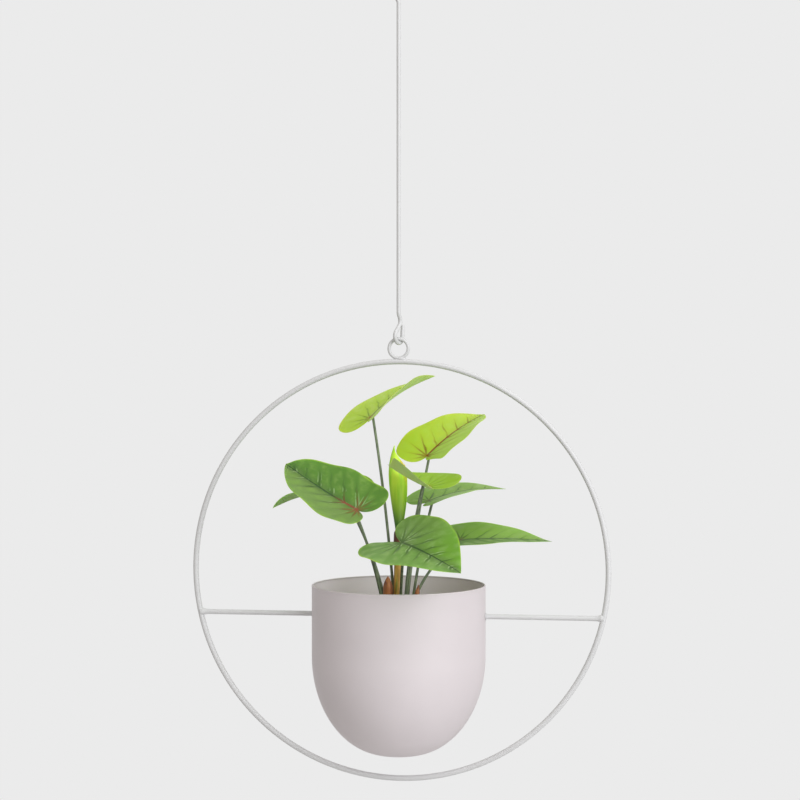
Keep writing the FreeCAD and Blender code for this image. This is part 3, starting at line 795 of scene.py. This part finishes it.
def half_outline(lobe, full):
    """Tip to widest place, round the lobe and in to the stem, in shares of length and half width."""
    tip_pole = (0.78 + 0.12 * full, 0.10 + 0.40 * full)
    side_pole = (0.46 + 0.20 * full, 1)
    return np.concatenate([
        bezier([(1, 0), tip_pole, side_pole, (0.12, 1)], front_points),
        bezier([(0.12, 1), (-0.12, 1), (-lobe, 0.85), (-lobe, 0.48)], lobe_points)[1:],
        bezier([(-lobe, 0.48), (-lobe, 0.20), (-0.10, 0.03), (0, 0)], notch_points)[1:],
    ])


print("a leaf's half outline has", len(half_outline(0.2, 0.5)), "points")

# %% Leaf face
leaf_crease = 2.0
stalk_thickness = 6.4


def grown(hundredths):
    """Lengths of the plant, from hundredths of its height."""
    return np.asarray(hundredths) * plant_height / 100


def at_root(root, z):
    """A point over a root that is given in thicknesses of the stalk."""
    return np.array([root[0] * stalk_thickness, root[1] * stalk_thickness, z])


def blade_axes(leaf):
    """Directions along the midrib, across it to the left, and out of the face."""
    heading, pitch, roll = np.radians([leaf.heading, leaf.pitch, leaf.roll])
    level = np.array([math.cos(heading), math.sin(heading), 0])
    along = level * math.cos(pitch) + UP * math.sin(pitch)
    left = np.array([-math.sin(heading), math.cos(heading), 0])
    across = left * math.cos(roll) + np.cross(along, left) * math.sin(roll)
    return along, across, np.cross(along, across)


def blade_point(leaf, u, v, lift=0.0):
    """Joint + u along + v across + (droop, fold, twist and lift) out of the face."""
    along, across, face = blade_axes(leaf)
    length = grown(leaf.length)
    out = lift - leaf.droop * u * u / length
    out = out + leaf.fold * (np.hypot(v, leaf_crease) - leaf_crease) + leaf.twist * u * v / length
    flat = np.multiply.outer(u, along) + np.multiply.outer(v, across)
    return grown(leaf.joint) + rim_z * UP + flat + np.multiply.outer(out, face)


print("the top leaf's tip is at", np.round(blade_point(LEAVES[0], grown(LEAVES[0].length), 0.0), 1))

# %% Leaf blade
leaf_thickness = 0.8
edge_thinning = 0.42
tip_closing = 0.05
RIPPLE = {"left": 1.1, "upper_right": 0.8, "front": 0.7}
calm_ripple = 0.3
ripple_start = 15.0
ripple_rate = 0.19
ripple_shift = 2.5


def blade_grid(leaf, columns=33):
    """Rows go from tip to stem along the outline. Columns go over the face, right edge to left edge,
    and back below it. A point lies a share of the way from the midrib to the outline.

    The edge ripples as a sine of u. Thickness and ripple fall to nothing at the tip and at the stem, so
    the shell closes there.
    """
    left = half_outline(leaf.lobes[0], leaf.fullness)
    right = half_outline(leaf.lobes[1], leaf.fullness) * np.array([1, -1])
    spine = np.zeros_like(left)
    spine[:front_points, 0] = np.linspace(1, 0, front_points)
    share = np.sin(np.linspace(-0.5, 0.5, columns) * np.pi)
    reach = np.concatenate([share, share[::-1]])
    below = np.concatenate([np.zeros(columns), np.ones(columns)])
    edge = np.where(reach[None, :, None] < 0, right[:, None], left[:, None])
    part = np.abs(reach)[None, :, None]
    flat = (1 - part) * spine[:, None] + part * edge
    u = flat[..., 0] * grown(leaf.length)
    v = flat[..., 1] * grown(leaf.half_width)
    half = leaf_thickness * (0.5 - edge_thinning * np.abs(reach) ** 4)
    closing = np.clip((1 - left[:, :1]) / tip_closing, 0, 1)
    closing[-1] = 0
    lift = leaf_thickness / 2 + closing * half * (1 - 2 * below)
    ripple = RIPPLE.get(leaf.name, calm_ripple) * closing * np.clip(np.hypot(u, v) / ripple_start, 0, 1) ** 2
    phase = ripple_rate * u + ripple_shift * np.sign(v) + leaf.heading
    wave = ripple * np.abs(reach)[None, :] ** 3 * np.sin(phase)
    points = blade_point(leaf, u, v, lift + wave)
    rim = np.broadcast_to(np.abs(reach), u.shape)
    return points, np.stack([u, v], axis=-1) / map_unit, rim, np.broadcast_to(below, u.shape)


print("a leaf blade is a grid of", blade_grid(LEAVES[0])[0].shape[:2], "points")

# %% Leaf stem
stem_seat = 3.0
root_depth = 14.0


def stem_line(leaf, count=40):
    """A circular arc from below the soil up into the blade; bow is its rise over the chord."""
    face = blade_axes(leaf)[2]
    start = at_root(leaf.root, soil_z - root_depth)
    end = blade_point(leaf, stem_seat, 0.0) + leaf_thickness / 2 * face
    chord = end - start
    half = np.linalg.norm(chord) / 2
    way = chord / (2 * half)
    outward = unit(UP - way * way[2])
    bow = grown(leaf.bow)
    radius = (half ** 2 + bow ** 2) / (2 * bow)
    middle = (start + end) / 2 - outward * (radius - bow)
    turn = math.asin(half / radius) * np.linspace(-1, 1, count)[:, None]
    return middle + radius * (np.cos(turn) * outward + np.sin(turn) * way), np.cross(way, outward)


print("the top leaf's stem starts at", np.round(stem_line(LEAVES[0])[0][0], 1))

# %% [markdown]
# Young leaves are yellow-green, older ones darker, and a red flush runs from the stem into the veins of
# some. One finish for all would look like a row of copies, so every leaf has a finish of its own from
# the same group, and its stem is a fibrous dull green wire.

# %% Stem finish
fibre_stretch = (1.0, 1.0, 0.08)
fibre, given, place = start_group("fibre_skin", {
    "Light": colour(122, 136, 104), "Dark": colour(84, 98, 76), "Streak": colour(104, 122, 84),
    "Foot": colour(84, 98, 70), "Width": 1.2})
squeezed = {0: place, 1: fibre_stretch}
stretched = put(fibre, "ShaderNodeVectorMath", squeezed, operation="MULTIPLY").outputs[0]
strand = noise(fibre, stretched, given["Width"], 3.0)
patch = noise(fibre, stretched, product(fibre, given["Width"], 3.0), 2.0)
strands = mixed(fibre, eased(fibre, strand, 0.35, 0.65), given["Dark"], given["Light"])
strands = mixed(fibre, eased(fibre, patch, 0.55, 0.7), strands, given["Streak"])
foot_share = put(fibre, "ShaderNodeAttribute", attribute_name="foot").outputs["Fac"]
end_group(fibre, mixed(fibre, foot_share, strands, given["Foot"]),
          eased(fibre, strand, 0.3, 0.7, 0.6, 0.45), strand)
stem_skin = finish("stem_fibres", fibre, {}, 0.12)

# %% Leaf tones
young = {
    "Left": colour(172, 206, 52), "Right": colour(172, 206, 78), "Pale": colour(184, 214, 80),
    "Vein": colour(76, 116, 14), "Edge": colour(196, 222, 80), "Underside with painted light": colour(190, 222, 96),
    "Blush reach": 6.0,
}
old = {
    "Left": colour(100, 146, 44), "Right": colour(100, 146, 44), "Pale": colour(128, 164, 66),
    "Vein": colour(44, 80, 24), "Edge": colour(152, 188, 54), "Underside with painted light": colour(134, 178, 60),
    "Blush": colour(92, 92, 40), "Blush reach": 6.0,
}
TONES = {
    "top": young | {
        "Left": colour(182, 216, 54), "Right": colour(182, 216, 80), "Pale": colour(192, 220, 82)},
    "upper_right": young | {
        "Left": colour(186, 212, 66), "Blush": colour(136, 56, 10), "Blush reach": 75.0},
    # The left leaf's two halves are one green painted lighter on one side and darker on the other, as
    # painted light and shade.
    "left": old | {
        "Left": colour(110, 142, 68), "Right": colour(80, 127, 25), "Pale": colour(120, 158, 60),
        "Blush": colour(140, 62, 42), "Blush reach": 24.0, "Depth": 1.0, "Painted highlight": 0.4},
    # The far-left and middle leaves get still brighter undersides, as painted light on faces in shade.
    "far_left": old | {"Underside with painted light": colour(118, 168, 18)},
    "middle": young | {
        "Left": colour(144, 184, 44), "Right": colour(144, 184, 44), "Pale": colour(158, 196, 72),
        "Underside with painted light": colour(226, 255, 152)},
    "middle_right": old | {
        "Left": colour(134, 178, 64), "Right": colour(134, 178, 64), "Pale": colour(150, 186, 86)},
    "front": old | {
        "Left": colour(106, 144, 62), "Right": colour(108, 150, 66), "Pale": colour(138, 172, 94),
        "Blush": colour(62, 90, 40), "Blush reach": 16.0, "Tip": colour(104, 160, 10),
        "Tip share": 0.75, "Depth": 0.85, "Painted highlight": 0.7},
    "right": old | {
        "Left": colour(132, 174, 68), "Right": colour(92, 134, 36), "Pale": colour(142, 176, 88)},
}
print("leaf tones for", list(TONES))

# %% Leaves and stems
leaf_glow = 0.8
middle_glow = 0.2
stem_foot_radius = 1.1
stem_top_radius = 0.95
for leaf in LEAVES:
    glow = middle_glow if leaf.name == "middle" else leaf_glow
    skin = finish(leaf.name + "_leaf_skin", blade, TONES[leaf.name], 0.35, specular=0.3, through=glow)
    points, uv, rim_mark, below_mark = blade_grid(leaf)
    add_piece(leaf.name + "_blade", [points], "planted_pot", skin, [leaf.name + "_leaf"],
              marks={"rim": rim_mark, "below": below_mark}, uv=uv, sharp=80)
    path, path_side = stem_line(leaf)
    stem_radius = np.linspace(stem_foot_radius, stem_top_radius, len(path))
    stem = tube(path, path_side, stem_radius, sides=14)
    add_piece(leaf.name + "_petiole", [stem], "planted_pot", stem_skin, [leaf.name + "_stem"])

# %% [markdown]
# ## Stalk, rolled leaf and sheaths
# The newest leaf of such a plant comes up rolled on the end of the thick stalk, and dry brown sheaths
# stay at its foot. A flat leaf could be rolled up by a bend modifier, but then its mouth is hard to
# place. So rolled pieces are one sheet carried round an axis: radius over height, with a mouth cut at
# a slant, outside first and then back along the inside.

# %% Rolled sheet
def on_axis(foot, way, points):
    """Points about Z, stood on a foot and leaned the way of an axis."""
    side = unit(np.cross(np.array([0.0, 1.0, 0.0]), way))
    back = np.cross(way, side)
    return foot + points[..., :1] * side + points[..., 1:2] * back + points[..., 2:] * way


def rolled_sheet(length, slant, tip, radius, start, end, wall, rows=60, columns=70):
    """A sheet round Z from angle start to end: (r cos a, r sin a, z), z a share of the height at a.

    The height is the length, less the slant's share of 1 - cos of the angle from the tip. The outside is
    at r = radius(z, a) and the inside lies the wall's thickness within it. Both meet at the rims.
    """
    angle = np.linspace(start, end, columns)
    angle = np.concatenate([angle, angle[::-1]])[None, :]
    inside = np.concatenate([np.zeros(columns), np.ones(columns)])[None, :]
    share = np.linspace(0, 1, rows)
    share = np.concatenate([[0], share, [1]])[:, None]
    thick = np.full((rows + 2, 1), wall)
    thick[[0, -1]] = 0
    z = share * (length * (1 - slant * (1 - np.cos(angle - tip))))
    r = radius(z, angle) - wall / 2 + thick * (0.5 - inside)
    return np.stack([r * np.cos(angle), r * np.sin(angle), z], axis=-1)


print("an upright axis leaves a point as it is:", on_axis(np.zeros(3), UP, np.array([1.0, 2.0, 3.0])))

# %% Stalk
stalk_skin = finish("stalk_fibres", fibre, {
    "Light": colour(214, 172, 76), "Dark": colour(160, 122, 48), "Streak": colour(128, 146, 60),
    "Width": 1.6}, 0.25)
stalk_root = (-0.23, 0.0)
stalk_lean = 0.12
stalk_share = 0.253
stalk_rows = 60
stalk_top_radius = 2.75
stalk_way = unit(np.array([0.0, stalk_lean, 1.0]))
stalk_foot = at_root(stalk_root, soil_z - root_depth)
stalk_top_z = rim_z + stalk_share * plant_height
stalk_top = stalk_foot + stalk_way * (stalk_top_z - stalk_foot[2]) / stalk_way[2]
share = np.linspace(0, 1, stalk_rows)[:, None]
stalk_path = stalk_foot * (1 - share) + stalk_top * share
stalk_radius = np.linspace(stalk_thickness / 2, stalk_top_radius, stalk_rows)
stalk_tube = tube(stalk_path, np.array([1.0, 0, 0]), stalk_radius, sides=36)
add_piece("thick_stalk", [stalk_tube], "planted_pot", stalk_skin, ["stalk"])

# %% Rolled leaf
young_roll = finish("rolled_leaf_fibres", fibre, {
    "Light": colour(210, 252, 70), "Dark": colour(172, 236, 40), "Streak": colour(214, 196, 50),
    "Foot": colour(60, 108, 18), "Width": 3.6}, 0.15, through=0.3)
sheet_wall = 0.7
roll_length = 0.413 * plant_height
roll_belly = 0.093 * plant_height / 2
belly_share = 0.62
belly_curve = 1.1
tip_narrowing = 0.82
tip_turn = math.radians(200)
mouth_slant = 0.115
roll_tightening = 0.12
roll_wrap = 2.35 * np.pi
roll_bend = 3.6
foot_green = 1.15
green_fall = 2.1


def roll_radius(z, angle):
    """Widens as a sine from foot to belly, closes as a square towards the tip, and shrinks turn by turn."""
    part = z / roll_length
    opening = np.sin(np.clip(part / belly_share, 0, 1) * np.pi / 2) ** belly_curve
    wide = stalk_top_radius + (roll_belly - stalk_top_radius) * opening
    close = 1 - tip_narrowing * np.clip((part - belly_share) / (1 - belly_share), 0, 1) ** 2
    return wide * close - roll_tightening * angle


rolled = rolled_sheet(roll_length, mouth_slant, tip_turn, roll_radius, 0.0, roll_wrap, sheet_wall)
height_share = rolled[..., 2] / roll_length
rolled[..., 0] -= roll_bend * np.clip(height_share, 0, None) ** 2
green_share = np.clip(foot_green - green_fall * height_share, 0, 1)
roll = on_axis(stalk_top, stalk_way, rolled)
add_piece("rolled_young_leaf", [roll], "planted_pot", young_roll, ["rolled_leaf"],
          marks={"foot": green_share}, sharp=60)

# %% Sheath on the stalk
dark_sheath = finish("dark_sheath", fibre, {
    "Light": colour(104, 56, 30), "Dark": colour(60, 28, 16), "Streak": colour(140, 90, 44),
    "Width": 1.2}, 0.25)
strap_length = 0.12 * plant_height
strap_radius = 3.75
strap_narrowing = 0.35
strap_slant = 0.28
strap_tip_turn = 4.4
strap_start = math.radians(165)
strap_end = math.radians(375)


def strap_reach(z, angle):
    """Narrows evenly from foot to mouth, alike at every angle."""
    return strap_radius - strap_narrowing * z / strap_length


strap = rolled_sheet(strap_length, strap_slant, strap_tip_turn, strap_reach, strap_start, strap_end,
                     sheet_wall)
strap = on_axis(stalk_top - stalk_way * strap_length, stalk_way, strap)
add_piece("strap_sheath", [strap], "planted_pot", dark_sheath, ["stalk_sheath"], sharp=60)

# %% Sheaths at the foot
dry_sheath = finish("dry_sheath", fibre, {
    "Light": colour(184, 116, 62), "Dark": colour(126, 78, 56), "Streak": colour(214, 140, 48),
    "Foot": colour(120, 72, 40), "Width": 1.4}, 0.25)
sheath_depth = 3.0
# Places and widths are in thicknesses of the stalk, and a tip's height is over the pot's rim
Sheath = namedtuple("Sheath", "root tip width")
SHEATHS = {
    "left": Sheath(root=(-1.30, 0.23), tip=(-1.25, 0.16, 0.86), width=0.94),
    "right": Sheath(root=(1.33, -0.31), tip=(2.27, 0.0, 0.0), width=0.5),
}


def bud_swell(share):
    """Share of the half width along a sheath: it swells to its middle and closes to a point."""
    return np.clip(0.85 + 1.1 * share - 0.3 * share ** 2 - 1.55 * share ** 7, 0.1, 1.15)


for name, sheath in SHEATHS.items():
    foot = at_root(sheath.root, soil_z - sheath_depth)
    point = at_root(sheath.tip, rim_z + sheath.tip[2] * stalk_thickness)
    share = np.linspace(0, 1, 50)
    path = foot + share[:, None] * (point - foot)
    bud_radius = sheath.width * stalk_thickness / 2 * bud_swell(share)
    bud = tube(path, np.array([1.0, 0, 0]), bud_radius, sides=28)
    add_piece(name + "_dry_sheath", [bud], "planted_pot", dry_sheath, [name + "_sheath"])

# %% [markdown]
# ## Washers, nuts and foam
# These could be turned and bevelled anew, but they are small or hidden, and their shape in the packed
# model is already the real one. So they keep it and only get a finish. The outer washers are painted
# with the frame, the inner ones and the nuts are plated, and the foam lies hidden under the cover.

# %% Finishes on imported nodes
PACKED_FINISHES = {
    "outer_washers": frame_paint, "inner_washers": nut_steel, "pot_nuts": nut_steel,
    "foam_plug": foam_skin,
}
for node, skin in PACKED_FINISHES.items():
    mesh = frame["nodes"][node].data
    mesh.materials.clear()
    mesh.materials.append(skin)
    print(node, "has", skin.name)

# %% [markdown]
# ## Floor, light and camera
# A pale floor lies well below the planter. A large soft lamp stands to the right in front, a larger one
# hangs above, and a weak one behind shines through the leaves without a glare on them. An even dim
# room fills the shade, and the camera and shiny metal see a pale backdrop in its place. One small lamp
# would draw hard edges, and large ones give soft shade as in a studio. The camera looks level, from
# about the height of the top leaf and slightly from the right.

# %% Floor
floor_drop = 250.0
floor_radius = 880.0
floor_sides = 128
floor_z = hoop_low[2] - floor_drop
floor_skin = bpy.data.materials.new("pale_floor")
floor_skin.use_nodes = True
floor_sockets = floor_skin.node_tree.nodes["Principled BSDF"].inputs
floor_sockets["Base Color"].default_value = (0.74, 0.74, 0.74, 1.0)
floor_sockets["Roughness"].default_value = 0.8
floor_sockets["Specular IOR Level"].default_value = 0.1
floor_rim = lathe([(floor_radius, floor_z)], sides=floor_sides)[0]
floor_mesh = bpy.data.meshes.new("floor")
floor_mesh.from_pydata((floor_rim * MM).tolist(), [], [list(range(floor_sides))])
floor_mesh.materials.append(floor_skin)
floor = bpy.data.objects.new("floor", floor_mesh)
bpy.context.scene.collection.objects.link(floor)
print("floor at", round(floor_z, 1))

# %% Room
room_light = (0.375, 0.35, 0.325, 1.0)
world = bpy.data.worlds.new("studio")
world.use_nodes = True
tree = world.node_tree
tree.nodes.clear()
paths = put(tree, "ShaderNodeLightPath").outputs
mirrored = calc(tree, "MAXIMUM", paths["Is Glossy Ray"], paths["Is Transmission Ray"])
seen = calc(tree, "MAXIMUM", paths["Is Camera Ray"], mirrored)
room = put(tree, "ShaderNodeBackground", {"Color": room_light})
backdrop = put(tree, "ShaderNodeBackground", {"Color": colour(235, 235, 235)})
both = put(tree, "ShaderNodeMixShader", {0: seen, 1: room.outputs[0], 2: backdrop.outputs[0]})
put(tree, "ShaderNodeOutputWorld", {0: both.outputs[0]})
bpy.context.scene.world = world
print("room has", len(tree.nodes), "nodes")

# %% Lamps
aim = Vector((0, 0, hoop_z * MM))


def soft_lamp(name, turn, rise, away, size, power, tint=(1.0, 1.0, 1.0), glossy=True):
    """A round soft lamp that faces the hoop, turned to the right of the front and raised, in degrees."""
    turn, rise = math.radians(turn), math.radians(rise)
    lamp = bpy.data.lights.new(name, "AREA")
    lamp.shape = "DISK"
    lamp.size = size
    lamp.energy = power
    lamp.color = tint
    stand = bpy.data.objects.new(name, lamp)
    level = Vector((math.sin(turn), -math.cos(turn), 0)) * math.cos(rise)
    stand.location = aim + away * (level + Vector((0, 0, math.sin(rise))))
    stand.rotation_euler = (aim - stand.location).to_track_quat("-Z", "Y").to_euler()
    stand.visible_camera = False
    stand.visible_glossy = glossy
    bpy.context.scene.collection.objects.link(stand)
    print(name, "lamp at", [round(x, 3) for x in stand.location])


soft_lamp("key", turn=48, rise=15, away=2.2, size=1.8, power=30, tint=(0.955, 0.97, 1.0))
soft_lamp("top", turn=24, rise=60, away=2.0, size=3.2, power=27)
soft_lamp("back", turn=190, rise=25, away=2.2, size=2.0, power=10, glossy=False)
bpy.context.scene.view_settings.view_transform = "Standard"

# %% Camera
camera_turn = math.radians(8)
camera_away = 1188.5
camera_rise = 122.3
camera_shift = 0.94
camera = bpy.data.objects.new("camera", bpy.data.cameras.new("camera"))
camera.data.lens = 74.25
camera.data.sensor_width = 36
camera.data.clip_start = 0.01
camera.location = MM * Vector((
    camera_away * math.sin(camera_turn) + camera_shift * math.cos(camera_turn),
    camera_shift * math.sin(camera_turn) - camera_away * math.cos(camera_turn),
    hoop_z + camera_rise))
camera.rotation_euler = (math.pi / 2, 0, camera_turn)
bpy.context.scene.collection.objects.link(camera)
bpy.context.scene.camera = camera
print("camera at", [round(x, 4) for x in camera.location])
